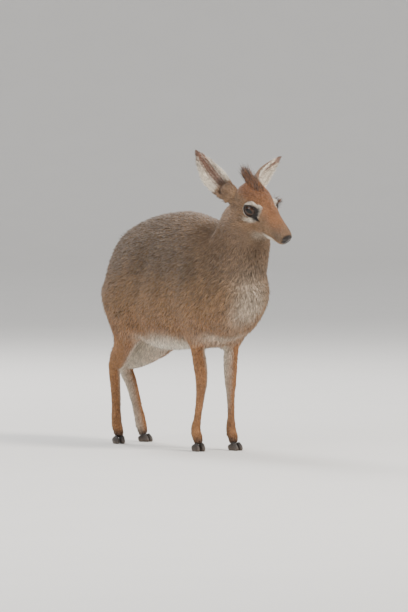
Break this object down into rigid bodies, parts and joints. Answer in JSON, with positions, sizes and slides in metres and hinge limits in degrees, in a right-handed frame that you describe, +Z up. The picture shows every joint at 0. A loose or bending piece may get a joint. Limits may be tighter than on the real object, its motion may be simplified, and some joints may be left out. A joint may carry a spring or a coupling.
{
  "type": "antelope figure",
  "caption": "Life-size dwarf antelope doe with a tufted crown and broad ears, standing on slender legs with her head raised and turned to one side.",
  "frame": {"origin": "on the floor under the middle of her box, ears and hocks included", "axes": "+Z up, she faces -Y, and her left side is +X. Her body runs along Y, which is the longest way"},
  "size_m": [0.1716, 0.5021, 0.4837],
  "materials": {
    "coat": "short grizzled grey-brown hair",
    "tan_coat": "short rufous hair",
    "ear": "thin short hair, pale inside",
    "crest": "long dark rufous hair",
    "eye": "wet, very dark brown",
    "horn": "smooth dark hoof horn, half matt"
  },
  "bodies": {
    "root": {"trunk": "coat", "neck": "coat", "head": "tan_coat", "tail": "coat", "crest": "crest", "ear_left": "ear", "ear_right": "ear", "eye_left": "eye", "eye_right": "eye", "foreleg_left": "tan_coat", "foreleg_right": "tan_coat", "hindleg_left": "tan_coat", "hindleg_right": "tan_coat", "claw_fore_left_outer": "horn", "claw_fore_left_inner": "horn", "claw_fore_right_outer": "horn", "claw_fore_right_inner": "horn", "claw_hind_left_outer": "horn", "claw_hind_left_inner": "horn", "claw_hind_right_outer": "horn", "claw_hind_right_inner": "horn"}
  },
  "joints": []
}
